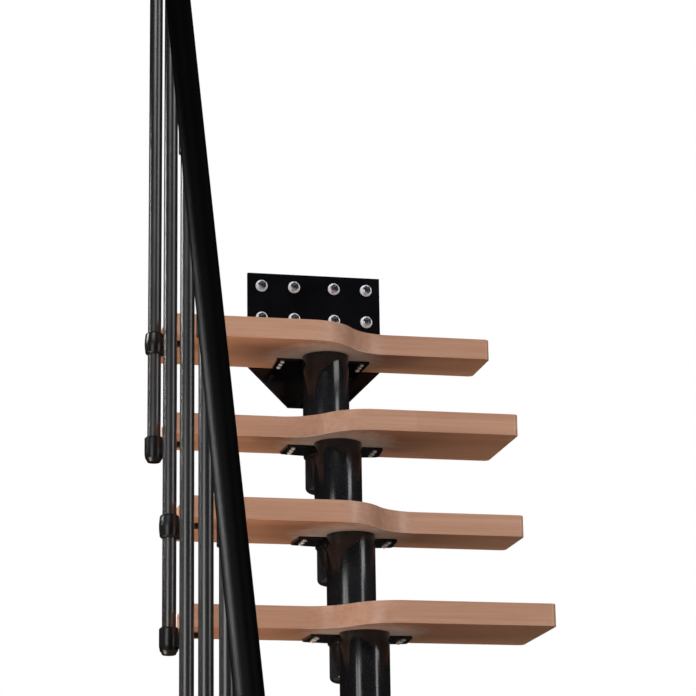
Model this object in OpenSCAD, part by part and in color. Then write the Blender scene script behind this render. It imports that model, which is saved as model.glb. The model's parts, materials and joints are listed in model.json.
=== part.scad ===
// Modular space-saver stair: one straight flight of alternating paddle treads on
// telescoping tube supports, with a baluster rail along its left side.
// Origin: centre of the floor flange's underside. +Y is the way up, +Z is up.

/* [Flight] */
// Number of treads
tread_count = 12; // [4:1:12]
// Height from one tread to the next
rise = 194; // [185:1:215]
// Horizontal step from one support tube to the next
going = 100; // [97:1:120]

/* [Treads] */
// Width of a tread across the flight
tread_w = 636; // [560:1:760]
// Thickness of a tread
tread_t = 40; // [32:1:45]
// Reach of the wide pad's front edge ahead of its support tube
pad_reach = 116; // [105:1:140]
// Reach of the narrow side's front edge ahead of its support tube
narrow_reach = 33; // [25:1:60]
// Side length of the swept step between the pad and the narrow side
sweep_w = 160; // [120:1:170]
// Distance of the sweep's start past the middle, on the pad's side
sweep_start = 45; // [20:1:50]
// Rounding of a tread's outer corners
tread_corner_r = 10; // [4:1:20]
// Gap between a tread's notch and the tube that passes through it
notch_gap = 1.5; // [1:0.5:4]

/* [Supports] */
// Outer diameter of the support tubes
tube_d = 88.9; // [76.1:0.1:92]
// Wall of the support tubes
tube_wall = 3; // [2:0.5:4]
// Gap all round between a spigot and the tube that slides over it
spigot_gap = 0.4; // [0.3:0.1:1]
// Depth of a spigot below the tread
spigot_drop = 72; // [50:1:90]
// Height of a spigot above the tread plate
spigot_rise = 90; // [50:1:120]
// Rounding of a spigot's closed lower end
spigot_round = 9; // [4:1:14]
// Thickness of the plate that carries a tread
plate_t = 5; // [4:0.5:8]
// Width of the plate's two wings
wing_w = 182; // [160:1:220]
// Depth of the wings
wing_depth = 62; // [50:1:70]
// Distance of the wings' front edge behind the tube's axis
wing_set_back = 20; // [10:1:25]
// How much further back the plate goes at its middle than at the wings' ends
wing_taper = 8; // [2:1:14]
// Cut across the wings' rear corners
wing_corner_cut = 5; // [2:0.5:10]
// Width of the plate's rim round the tube that stands on it
seat_rim = 4; // [2:0.5:12]
// Diameter of the screw holes under a tread
screw_hole_d = 6; // [4:0.5:8]
// Distance of the screw holes from a wing's end
screw_inset = 13; // [9:1:20]
// Distance between the screw holes
screw_pitch = 20; // [14:1:21]

/* [Wall bracket] */
// Width of the wall plate
wall_plate_w = 265; // [255:1:320]
// Height of the wall plate
wall_plate_h = 270; // [240:1:300]
// Thickness of the wall plate
wall_plate_t = 8; // [6:1:12]
// Size of the cut across its lower corners
wall_plate_cut = 79; // [50:1:85]
// Depth of the wall plate's lower edge below the top tread's underside
wall_plate_drop = 76; // [60:1:90]
// Gap between the top tread's back edge and the wall plate
wall_gap = 3; // [2:1:10]
// Diameter of the wall bolt holes
wall_hole_d = 11; // [9:0.5:14]
// Distance of the outer bolt holes from the plate's sides
outer_bolt_inset = 27.5; // [18:0.5:35]
// Distance across the inner bolt holes
inner_bolt_span = 80; // [60:1:110]
// Distance between the two rows of bolts
bolt_row_pitch = 65; // [45:1:75]
// Depth of the upper row below the plate's top
bolt_row_inset = 26; // [20:1:40]
// Thickness of the two gussets
gusset_t = 6; // [4:1:8]
// Distance across the gussets' outer faces
gusset_span = 78; // [60:1:84]

/* [Floor flange] */
// Width of the floor flange
flange_w = 200; // [160:1:240]
// Depth of the floor flange
flange_d = 180; // [160:1:220]
// Thickness of the floor flange
flange_t = 8; // [6:1:12]
// Rounding of its corners
flange_corner_r = 12; // [5:1:25]
// Distance of its bolt holes from its edges
flange_bolt_inset = 20; // [15:0.5:24]
// Diameter of its bolt holes
flange_hole_d = 13; // [9:0.5:16]

/* [Railing] */
// Diameter of the balusters
baluster_d = 25; // [20:0.5:28]
// Wall of the balusters
baluster_wall = 1.5; // [1:0.5:2.5]
// Gap between a tread's end and the baluster tube
baluster_gap = 9; // [6:0.5:15]
// Distance of a baluster's axis ahead of the upper tread's support tube
baluster_lead = 60; // [45:1:70]
// Diameter of the handrail
handrail_d = 45; // [40:0.5:50]
// Bore of the handrail
handrail_bore = 30; // [20:1:34]
// Height of the handrail's axis above the upper tread of a baluster's pair
handrail_h = 1077; // [900:1:1150]
// Reach of the handrail past the lowest and the highest baluster
handrail_reach = 230; // [150:5:260]

/* [Railing fittings] */
// Diameter of the ring clamps at the middle of their barrel
ring_d = 37; // [36:0.5:42]
// Diameter of the ring clamps at both ends
ring_end_d = 34; // [33:0.5:35]
// Height of the ring clamps
ring_h = 42; // [36:1:50]
// Height of a ring clamp's middle above the tread's underside
ring_mid = -6; // [-8:1:4]
// Chamfer at both ends of a ring clamp and at the top of a foot
ring_chamfer = 3; // [2:0.5:3.5]
// Outer diameter of the end feet
foot_d = 35; // [34:0.5:40]
// Height of the end feet
foot_h = 48; // [44:1:60]
// Depth of a foot's lower end below the tread's underside
foot_drop = 39; // [36:1:45]
// Diameter of a foot's narrow lower end
foot_tip_d = 24; // [20:0.5:28]
// Height of a foot's rounded lower end
foot_tip_h = 7; // [4:0.5:10]
// Thickness of the tongue that lies under a tread
tongue_t = 6; // [4:0.5:8]
// Width of the tongue and of its arm
tongue_w = 24; // [20:1:28]
// Reach of the tongue under the tread
tongue_reach = 48; // [40:1:60]
// Depth of the arm where it meets the baluster's fitting
arm_h = 26; // [20:1:26]
// Reach of the arm's slope under the tread
arm_reach = 22; // [15:1:30]
// Diameter of the screw hole in a tongue
tongue_hole_d = 5; // [4:0.5:6]
// Distance of that hole from the tongue's end
tongue_hole_inset = 12; // [10:0.5:15]
// Length of a handrail cap outside the handrail
cap_len = 14; // [10:1:20]
// Bevel round a handrail cap's end
cap_bevel = 6; // [3:1:8]
// Diameter of the saddles that carry the handrail
saddle_d = 32; // [30:0.5:36]
// Length of a baluster's top inside its saddle
saddle_grip = 30; // [20:1:40]

/* [Hidden] */
baluster_count = floor(tread_count / 2);
FLIGHT = [for (i = [1:tread_count]) str(i < 10 ? "0" : "", i)];

// Small gap between painted pieces that seat on each other
seat_gap = 0.3;
// Extra length that a cutter runs past the face that it cuts
over = 1;
// How far the arcs of a tread's front edge overlap what they run into
arc_overlap = 0.02;
// Colours of the finishes
wood_colour = [0.70, 0.54, 0.46];
steel_colour = [0.08, 0.08, 0.09];
baluster_colour = [0.20, 0.20, 0.21];
plastic_colour = [0.05, 0.05, 0.05];

tube_r = tube_d / 2;
tube_bore_r = tube_r - tube_wall;
spigot_r = tube_bore_r - spigot_gap;
seat_r = tube_r + seat_rim;
// A tread's straight back edge lies on the axis of the next tube up
tread_back = going;
sweep_drop = pad_reach - narrow_reach;
sweep_r = (sweep_w * sweep_w + sweep_drop * sweep_drop) / (4 * sweep_drop);
wall_face = (tread_count - 1) * going + tread_back + wall_gap;
wall_back = wall_face + wall_plate_t;
top_under = tread_count * rise - tread_t;
wall_plate_low = top_under - wall_plate_drop;
wall_plate_top = wall_plate_low + wall_plate_h;
upper_bolt_z = wall_plate_top - bolt_row_inset;
lower_bolt_z = upper_bolt_z - bolt_row_pitch;
baluster_x = -(tread_w / 2 + baluster_gap + baluster_d / 2);
rail_slope = atan(rise / going);
rail_low_y = baluster_y(1) - handrail_reach * cos(rail_slope);
rail_high_y = baluster_y(baluster_count) + handrail_reach * cos(rail_slope);
// Vertical distance from the handrail's axis down to its skin
rail_skin = handrail_d / 2 / cos(rail_slope);

// Place of a tread's support tube, and height of its underside
function tube_y(i) = (i - 1) * going;
function under_z(i) = i * rise - tread_t;
// The pad alternates from side to side: right on odd treads, left on even ones
function pad_side(i) = i % 2 == 0 ? -1 : 1;
// A baluster stands at two treads: its foot is on the lower, odd one
function baluster_y(j) = tube_y(2 * j) - baluster_lead;
function rail_z(y) = rise * 2 + handrail_h + (y - baluster_y(1)) * rise / going;
function foot_low(j) = under_z(2 * j - 1) - foot_drop;
function baluster_low(j) = foot_low(j) + foot_h / 2;
function baluster_top(j) = rail_z(baluster_y(j)) - rail_skin - saddle_d / 2 * tan(rail_slope);

// Rounded rectangle with true arcs, from its lowest corner
module rounded_rect(w, d, r) {
    translate([r, 0]) square([w - 2 * r, d]);
    translate([0, r]) square([w, d - 2 * r]);
    for (x = [r, w - r]) {
        for (y = [r, d - r]) translate([x, y]) circle(r = r, $fn = 48);
    }
}

// Plan of a tread with its pad at +X; has_notch where the next tube passes through.
// The front edge runs from the pad round a shoulder and through a hollow, two arcs that
// overlap each other and the straight edges by a hair, so that each meeting is a crossing.
module tread_outline(has_notch) {
    narrow_x = sweep_start - sweep_w;
    mid_y = -pad_reach + sweep_drop / 2;
    side = tread_w / 2;
    difference() {
        union() {
            translate([-side, -narrow_reach])
                rounded_rect(tread_w, narrow_reach + tread_back, tread_corner_r);
            translate([sweep_start, -pad_reach])
                square([side - sweep_start - tread_corner_r, pad_reach]);
            translate([side - 4 * tread_corner_r, -pad_reach])
                rounded_rect(4 * tread_corner_r, pad_reach + tread_back, tread_corner_r);
            intersection() {
                translate([sweep_start, -pad_reach + sweep_r - arc_overlap])
                    circle(r = sweep_r, $fn = 96);
                translate([narrow_x, -pad_reach - over])
                    square([sweep_w + tread_corner_r, pad_reach + over]);
            }
            translate([narrow_x, mid_y]) square([sweep_w, sweep_drop]);
        }
        translate([narrow_x, -narrow_reach - sweep_r + arc_overlap])
            circle(r = sweep_r, $fn = 96);
        if (has_notch) translate([0, going]) circle(r = tube_r + notch_gap, $fn = 96);
    }
}

module tread(i) {
    color(wood_colour) translate([0, tube_y(i), under_z(i)])
        mirror([pad_side(i) > 0 ? 0 : 1, 0, 0])
            linear_extrude(tread_t) tread_outline(i < tread_count);
}

// Plan of a plate's two wings, which deepen a little towards the spigot between them
module wings_outline() {
    wing_back = wing_set_back + wing_depth;
    polygon([
        [-wing_w / 2, wing_set_back],
        [wing_w / 2, wing_set_back],
        [wing_w / 2, wing_back - wing_corner_cut],
        [wing_w / 2 - wing_corner_cut, wing_back],
        [seat_r - over, wing_back + wing_taper],
        [-seat_r + over, wing_back + wing_taper],
        [-wing_w / 2 + wing_corner_cut, wing_back],
        [-wing_w / 2, wing_back - wing_corner_cut]
    ]);
}

// Plate that carries a tread: two wings and a round seat for the next tube up,
// or at the top of the flight one that runs straight back to the wall plate
module tread_plate(is_top) {
    difference() {
        translate([0, 0, -plate_t]) linear_extrude(plate_t - seat_gap) {
            if (is_top) {
                translate([-wing_w / 2, wing_set_back])
                    square([wing_w, tread_back + wall_gap - wing_set_back - seat_gap]);
            } else {
                wings_outline();
                translate([0, going]) circle(r = seat_r, $fn = 96);
            }
        }
        for (side = [-1, 1]) {
            for (n = [0:2]) {
                translate([
                    side * (wing_w / 2 - screw_inset),
                    wing_set_back + wing_depth / 2 + (n - 1) * screw_pitch,
                    -plate_t - over
                ]) cylinder(d = screw_hole_d, h = plate_t + 2 * over, $fn = 24);
            }
        }
    }
}

// Hollow spigot with a rounded, closed lower end, on the axis of the next tube up
module spigot() {
    translate([0, going, 0]) rotate_extrude($fn = 96) {
        difference() {
            union() {
                translate([0, -spigot_drop]) square([spigot_r - spigot_round, spigot_round]);
                translate([spigot_r - spigot_round, -spigot_drop + spigot_round])
                    circle(r = spigot_round, $fn = 48);
                translate([0, -spigot_drop + spigot_round])
                    square([spigot_r, spigot_drop + spigot_rise - spigot_round]);
            }
            translate([0, -spigot_drop + tube_wall])
                square([spigot_r - tube_wall, spigot_drop + spigot_rise]);
        }
    }
}

// One welded support: the tube under a tread, its plate, and the next spigot
module support(i) {
    tube_foot = i == 1 ? flange_t + seat_gap : under_z(i - 1);
    color(steel_colour) translate([0, tube_y(i), 0]) {
        difference() {
            union() {
                translate([0, 0, tube_foot])
                    cylinder(r = tube_r, h = under_z(i) - seat_gap - tube_foot, $fn = 96);
                translate([0, 0, under_z(i)]) tread_plate(i == tread_count);
            }
            translate([0, 0, tube_foot - over])
                cylinder(r = tube_bore_r, h = under_z(i) - plate_t - tube_foot + over, $fn = 96);
        }
        if (i < tread_count) translate([0, 0, under_z(i)]) spigot();
    }
}

module floor_flange() {
    color(steel_colour) difference() {
        union() {
            translate([-flange_w / 2, -flange_d / 2, 0])
                linear_extrude(flange_t) rounded_rect(flange_w, flange_d, flange_corner_r);
            // Short spigot that centres the lowest tube
            cylinder(r = spigot_r, h = flange_t + spigot_drop, $fn = 96);
        }
        translate([0, 0, flange_t])
            cylinder(r = spigot_r - tube_wall, h = spigot_drop + over, $fn = 96);
        for (x = [-1, 1]) {
            for (y = [-1, 1]) {
                translate([
                    x * (flange_w / 2 - flange_bolt_inset),
                    y * (flange_d / 2 - flange_bolt_inset),
                    -over
                ]) cylinder(d = flange_hole_d, h = flange_t + 2 * over, $fn = 32);
            }
        }
    }
}

module wall_plate_outline() {
    half = wall_plate_w / 2;
    polygon([
        [-half, wall_plate_top],
        [half, wall_plate_top],
        [half, wall_plate_low + wall_plate_cut],
        [half - wall_plate_cut, wall_plate_low],
        [-half + wall_plate_cut, wall_plate_low],
        [-half, wall_plate_low + wall_plate_cut]
    ]);
}

// Plate on the wall with two gussets that reach the top tube
module wall_bracket() {
    gusset_top = top_under - plate_t - seat_gap;
    color(steel_colour) {
        difference() {
            translate([0, wall_back, 0]) rotate([90, 0, 0])
                linear_extrude(wall_plate_t) wall_plate_outline();
            for (x = [wall_plate_w / 2 - outer_bolt_inset, inner_bolt_span / 2]) {
                for (side = [-1, 1]) {
                    for (z = [lower_bolt_z, upper_bolt_z]) {
                        translate([side * x, wall_back + over, z]) rotate([90, 0, 0])
                            cylinder(d = wall_hole_d, h = wall_plate_t + 2 * over, $fn = 32);
                    }
                }
            }
        }
        difference() {
            for (side = [-1, 1]) {
                translate([
                    side * (gusset_span - gusset_t) / 2 - gusset_t / 2,
                    tube_y(tread_count),
                    wall_plate_low
                ]) cube([gusset_t, wall_face - tube_y(tread_count) + over, gusset_top - wall_plate_low]);
            }
            translate([0, tube_y(tread_count), wall_plate_low - over])
                cylinder(r = tube_r + seat_gap, h = wall_plate_h, $fn = 96);
        }
    }
}

module baluster(j) {
    low = baluster_low(j);
    high = baluster_top(j);
    color(baluster_colour) translate([baluster_x, baluster_y(j), low]) difference() {
        cylinder(d = baluster_d, h = high - low, $fn = 64);
        translate([0, 0, -over])
            cylinder(d = baluster_d - 2 * baluster_wall, h = high - low + 2 * over, $fn = 64);
    }
}

// Arm from a baluster's fitting that goes under the tread's end: a flat tongue screwed up
// into the tread, and a web below it that slopes away from the fitting
module arm() {
    tread_end = -baluster_x - tread_w / 2;
    difference() {
        translate([0, tongue_w / 2, 0]) rotate([90, 0, 0]) linear_extrude(tongue_w) polygon([
            [0, -seat_gap],
            [tread_end + tongue_reach, -seat_gap],
            [tread_end + tongue_reach, -seat_gap - tongue_t],
            [tread_end + arm_reach, -seat_gap - tongue_t],
            [tread_end, -seat_gap - arm_h],
            [0, -seat_gap - arm_h]
        ]);
        translate([tread_end + tongue_reach - tongue_hole_inset, 0, -arm_h])
            cylinder(d = tongue_hole_d, h = 2 * arm_h, $fn = 24);
    }
}

module ring_clamps() {
    color(plastic_colour) for (j = [1:baluster_count]) {
        translate([baluster_x, baluster_y(j), under_z(2 * j)]) difference() {
            union() {
                translate([0, 0, ring_mid - ring_h / 2]) rotate_extrude($fn = 64) polygon([
                    [0, 0],
                    [ring_end_d / 2 - ring_chamfer, 0],
                    [ring_end_d / 2, ring_chamfer],
                    [ring_d / 2, ring_h / 2],
                    [ring_end_d / 2, ring_h - ring_chamfer],
                    [ring_end_d / 2 - ring_chamfer, ring_h],
                    [0, ring_h]
                ]);
                arm();
            }
            translate([0, 0, ring_mid - ring_h])
                cylinder(d = baluster_d + 2 * seat_gap, h = 2 * ring_h, $fn = 64);
        }
    }
}

module baluster_feet() {
    color(plastic_colour) for (j = [1:baluster_count]) {
        translate([baluster_x, baluster_y(j), 0]) difference() {
            union() {
                translate([0, 0, foot_low(j)]) rotate_extrude($fn = 64) polygon([
                    [0, 0],
                    [foot_tip_d / 2, 0],
                    [foot_d / 2 - ring_chamfer / 2, foot_tip_h],
                    [foot_d / 2, foot_h / 3],
                    [foot_d / 2, foot_h - ring_chamfer],
                    [foot_d / 2 - ring_chamfer, foot_h],
                    [0, foot_h]
                ]);
                translate([0, 0, under_z(2 * j - 1)]) arm();
            }
            translate([0, 0, baluster_low(j) - seat_gap])
                cylinder(d = baluster_d + 2 * seat_gap, h = foot_h, $fn = 64);
        }
    }
}

// Bar along the handrail's axis, from one place along the flight to another
module rail_bar(y0, y1, d) {
    translate([baluster_x, y0, rail_z(y0)])
        rotate([rail_slope - 90, 0, 0])
            cylinder(d = d, h = (y1 - y0) / cos(rail_slope), $fn = 96);
}

module handrail() {
    color(plastic_colour) difference() {
        rail_bar(rail_low_y, rail_high_y, handrail_d);
        rail_bar(rail_low_y - going, rail_high_y + going, handrail_bore);
    }
}

// Plugs that close the handrail's ends
module handrail_caps() {
    color(plastic_colour) for (end = [[rail_low_y, 1], [rail_high_y, -1]]) {
        translate([baluster_x, end[0], rail_z(end[0])])
            rotate([rail_slope - 90 + (end[1] > 0 ? 180 : 0), 0, 0])
                rotate_extrude($fn = 96) polygon([
                    [0, -cap_len * 2],
                    [handrail_bore / 2 - seat_gap, -cap_len * 2],
                    [handrail_bore / 2 - seat_gap, seat_gap],
                    [handrail_d / 2, seat_gap],
                    [handrail_d / 2, cap_len - cap_bevel],
                    [handrail_d / 2 - cap_bevel, cap_len],
                    [0, cap_len]
                ]);
    }
}

// Cups on the balusters' tops, hollowed to take the handrail
module rail_saddles() {
    color(plastic_colour) for (j = [1:baluster_count]) {
        top = baluster_top(j);
        difference() {
            translate([baluster_x, baluster_y(j), top - saddle_grip])
                cylinder(d = saddle_d, h = saddle_grip + saddle_d * tan(rail_slope), $fn = 64);
            translate([baluster_x, baluster_y(j), top - 2 * saddle_grip])
                cylinder(d = baluster_d + 2 * seat_gap, h = 2 * saddle_grip + seat_gap, $fn = 64);
            rail_bar(rail_low_y, rail_high_y, handrail_d + 2 * seat_gap);
        }
    }
}

for (i = [1:tread_count]) {
    tread(i);
    support(i);
}
floor_flange();
wall_bracket();
for (j = [1:baluster_count]) {
    baluster(j);
}
ring_clamps();
baluster_feet();
rail_saddles();
handrail();
handrail_caps();
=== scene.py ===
"""Dresses a straight modular space-saver stair: lacquered beech paddle treads on black
telescoping tube supports, with a baluster rail on the left, seen from below in a studio."""

import json
import logging
import math
from contextlib import contextmanager
from dataclasses import dataclass
from enum import Enum
from typing import Callable, Iterator, Sequence

import bpy
from mathutils import Matrix, Vector

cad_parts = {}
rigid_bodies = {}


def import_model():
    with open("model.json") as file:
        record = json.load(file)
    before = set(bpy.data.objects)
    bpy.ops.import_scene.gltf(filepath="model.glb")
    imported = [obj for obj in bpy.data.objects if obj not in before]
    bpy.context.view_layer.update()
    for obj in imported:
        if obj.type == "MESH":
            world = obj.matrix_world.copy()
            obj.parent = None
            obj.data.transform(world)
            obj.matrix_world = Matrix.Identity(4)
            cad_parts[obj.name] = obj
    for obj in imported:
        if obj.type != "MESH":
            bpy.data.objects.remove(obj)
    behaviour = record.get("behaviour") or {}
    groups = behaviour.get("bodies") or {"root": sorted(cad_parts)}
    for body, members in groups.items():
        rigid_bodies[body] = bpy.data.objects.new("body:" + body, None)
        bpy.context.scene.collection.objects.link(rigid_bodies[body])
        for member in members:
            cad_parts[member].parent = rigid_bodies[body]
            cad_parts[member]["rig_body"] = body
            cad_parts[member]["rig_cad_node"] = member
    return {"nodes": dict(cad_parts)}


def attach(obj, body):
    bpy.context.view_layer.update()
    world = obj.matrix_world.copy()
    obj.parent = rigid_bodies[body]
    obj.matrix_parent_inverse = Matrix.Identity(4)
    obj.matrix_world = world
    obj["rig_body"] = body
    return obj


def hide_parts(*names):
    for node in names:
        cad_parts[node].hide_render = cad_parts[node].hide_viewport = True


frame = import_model()
log = logging.getLogger("stair")

Piece = bpy.types.Object
Material = bpy.types.Material
Node = bpy.types.Node
Socket = bpy.types.NodeSocket
Triple = tuple[float, float, float]
Colour = Triple
Steps = tuple[tuple[float, float], ...]

WHITE: Colour = (1.0, 1.0, 1.0)
BLACK: Colour = (0.0, 0.0, 0.0)
FACING = 0.9  # A normal's least part along an axis for the face to count as facing along it
WELD = 0.00002  # Points of a CAD copy that lie closer than this are one
FLAT_DEGREES = 0.6  # Triangles of a CAD copy that bend less than this are one face
NEAR = 0.001  # Slack when an edge is picked by its place


class Slot(Enum):
    """The record's material slots."""

    BEECH = "beech_tread"
    STEEL = "black_steel"
    BALUSTER = "baluster_steel"
    PLASTIC = "black_plastic"
    HANDRAIL = "handrail_plastic"


class Pick(Enum):
    """What is selected in edit mode."""

    FACES = "FACE"
    EDGES = "EDGE"


# ---- Bench work: small helpers round Blender's own operators


def clear_selection() -> None:
    """Leaves edit mode and deselects every object."""
    if bpy.context.mode != "OBJECT":
        bpy.ops.object.mode_set(mode="OBJECT")
    bpy.ops.object.select_all(action="DESELECT")


def take(piece: Piece) -> None:
    """Selects one object alone and makes it the active one.

    Args:
        piece: The object.
    """
    clear_selection()
    piece.select_set(True)
    bpy.context.view_layer.objects.active = piece


@contextmanager
def editing(piece: Piece) -> Iterator[None]:
    """Opens a piece in edit mode and closes it again.

    Args:
        piece: The mesh object to edit.
    """
    take(piece)
    bpy.ops.object.mode_set(mode="EDIT")
    bpy.ops.mesh.select_all(action="SELECT")
    yield
    bpy.ops.object.mode_set(mode="OBJECT")


def pick(piece: Piece, kind: Pick, test: Callable[[Vector, Vector], bool]) -> None:
    """Selects faces or edges of a piece that is open in edit mode, by place and direction.

    Args:
        piece: The piece that is being edited.
        kind: Whether faces or edges are selected.
        test: Says yes or no to a face's centre and normal, or to an edge's two ends.
    """
    bpy.ops.mesh.select_mode(type=kind.value)
    bpy.ops.mesh.select_all(action="DESELECT")
    bpy.ops.object.mode_set(mode="OBJECT")
    mesh = piece.data
    if kind is Pick.FACES:
        for face in mesh.polygons:
            face.select = test(face.center, face.normal)
    else:
        for edge in mesh.edges:
            first, second = (mesh.vertices[i] for i in edge.vertices)
            if test(first.co, second.co):
                edge.select = first.select = second.select = True
    bpy.ops.object.mode_set(mode="EDIT")


def press(piece: Piece, kind: str, **settings: object) -> None:
    """Adds a modifier to a piece and applies it.

    Args:
        piece: The piece to change.
        kind: Blender's name for the modifier's type.
        settings: The modifier's properties.
    """
    take(piece)
    modifier = piece.modifiers.new(kind.title(), kind)
    for key, value in settings.items():
        setattr(modifier, key, value)
    bpy.ops.object.modifier_apply(modifier=modifier.name)


def soften(piece: Piece, degrees: float) -> None:
    """Shades a piece smooth, with its edges sharper than an angle kept."""
    take(piece)
    bpy.ops.object.shade_smooth_by_angle(angle=math.radians(degrees))


def ease(piece: Piece, edge: float, degrees: float, segments: int = 2) -> None:
    """Rounds a piece's sharp edges a little and keeps its broad faces flat in the light.

    Args:
        piece: The piece.
        edge: Width of the rounding.
        degrees: Edges sharper than this are rounded.
        segments: How many facets the rounding has.
    """
    press(piece, "BEVEL", width=edge, segments=segments, limit_method="ANGLE",
          angle_limit=math.radians(degrees))
    soften(piece, 45.0)
    press(piece, "WEIGHTED_NORMAL", mode="FACE_AREA", weight=100, keep_sharp=True)


def settle(piece: Piece) -> None:
    """Puts a piece's place, turn and scale into its mesh."""
    take(piece)
    bpy.ops.object.transform_apply(location=True, rotation=True, scale=True)


def newest() -> Piece:
    """The object that an operator has just added."""
    return bpy.context.view_layer.objects.active


def named(piece: Piece, name: str) -> Piece:
    """Gives a piece and its data a name."""
    piece.name = piece.data.name = name
    return piece


def twin(piece: Piece, place: Matrix, name: str) -> Piece:
    """Copies a piece, with a mesh of its own, to another place.

    Args:
        piece: The piece modelled at the origin.
        place: Where the copy goes.
        name: The copy's name.

    Returns:
        The copy, with its place in its mesh.
    """
    take(piece)
    bpy.ops.object.duplicate(linked=False)
    copy = named(newest(), name)
    copy.matrix_world = place
    settle(copy)
    return copy


def join(parts: Sequence[Piece], name: str) -> Piece:
    """Joins parts into one piece.

    Args:
        parts: The parts, of which the first takes in the rest.
        name: The piece's name.

    Returns:
        The joined piece.
    """
    clear_selection()
    for part in parts:
        part.select_set(True)
    bpy.context.view_layer.objects.active = parts[0]
    bpy.ops.object.join()
    return named(parts[0], name)


def scrap(piece: Piece) -> None:
    """Deletes a pattern piece once its copies are made."""
    bpy.data.objects.remove(piece, do_unlink=True)


def turned(profile: Sequence[tuple[float, float]], sides: int) -> Piece:
    """Turns a solid about the Z axis from a disc that is extruded and scaled up a profile.

    Args:
        profile: Pairs of radius and height, from the first end to the last.
        sides: How many sides the round has.

    Returns:
        The closed solid.
    """
    clear_selection()
    radius, level = profile[0]
    bpy.ops.mesh.primitive_circle_add(vertices=sides, radius=radius, fill_type="NGON",
                                      location=(0.0, 0.0, level))
    solid = newest()
    settle(solid)
    with editing(solid):
        bpy.ops.mesh.select_mode(type="FACE")
        bpy.ops.mesh.select_all(action="SELECT")
        for wide, high in profile[1:]:
            bpy.ops.mesh.extrude_region_move(
                TRANSFORM_OT_translate={"value": (0.0, 0.0, high - level)})
            bpy.ops.transform.resize(value=(wide / radius, wide / radius, 1.0),
                                     center_override=(0.0, 0.0, high))
            radius, level = wide, high
        bpy.ops.mesh.select_all(action="SELECT")
        bpy.ops.mesh.normals_make_consistent(inside=False)
    return solid


def rounded(corner: tuple[float, float], radius: float, start: float,
            steps: int) -> list[tuple[float, float]]:
    """Points of a quarter round for a turned profile.

    Args:
        corner: Centre of the round, as radius and height.
        radius: Radius of the round.
        start: Angle in degrees where it starts, from which it turns a quarter anticlockwise.
        steps: How many chords it has.

    Returns:
        The points in order.
    """
    angles = (math.radians(start + 90.0 * n / steps) for n in range(steps + 1))
    return [(corner[0] + radius * math.cos(a), corner[1] + radius * math.sin(a)) for a in angles]


def copy_of_node(node: str, name: str) -> Piece:
    """Copies a CAD node as a new piece and welds its loose triangles into whole faces.

    Args:
        node: The CAD node's name.
        name: The new piece's name.

    Returns:
        The new piece, which carries no mark of the CAD node.
    """
    take(frame["nodes"][node])
    bpy.ops.object.duplicate(linked=False)
    piece = named(newest(), name)
    piece.parent = None
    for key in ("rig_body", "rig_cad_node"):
        if key in piece:
            del piece[key]
    bpy.ops.mesh.customdata_custom_splitnormals_clear()
    with editing(piece):
        bpy.ops.mesh.remove_doubles(threshold=WELD)
        bpy.ops.mesh.normals_make_consistent(inside=False)
        bpy.ops.mesh.dissolve_limited(angle_limit=math.radians(FLAT_DEGREES))
    return piece


def put_in_place(piece: Piece, finish: Material,
                 stands_for: Sequence[str] = ()) -> None:
    """Gives a piece its finish, lets it ride on the stair and reports it.

    Args:
        piece: The finished piece.
        finish: The material.
        stands_for: The CAD nodes that it replaces, if any.
    """
    piece.data.materials.clear()
    piece.data.materials.append(finish)
    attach(piece, "root")
    if stands_for:
        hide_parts(*stands_for)
    log.info("%s: %d faces, %s", piece.name, len(piece.data.polygons), finish.name)


# ---- Finishes


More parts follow.
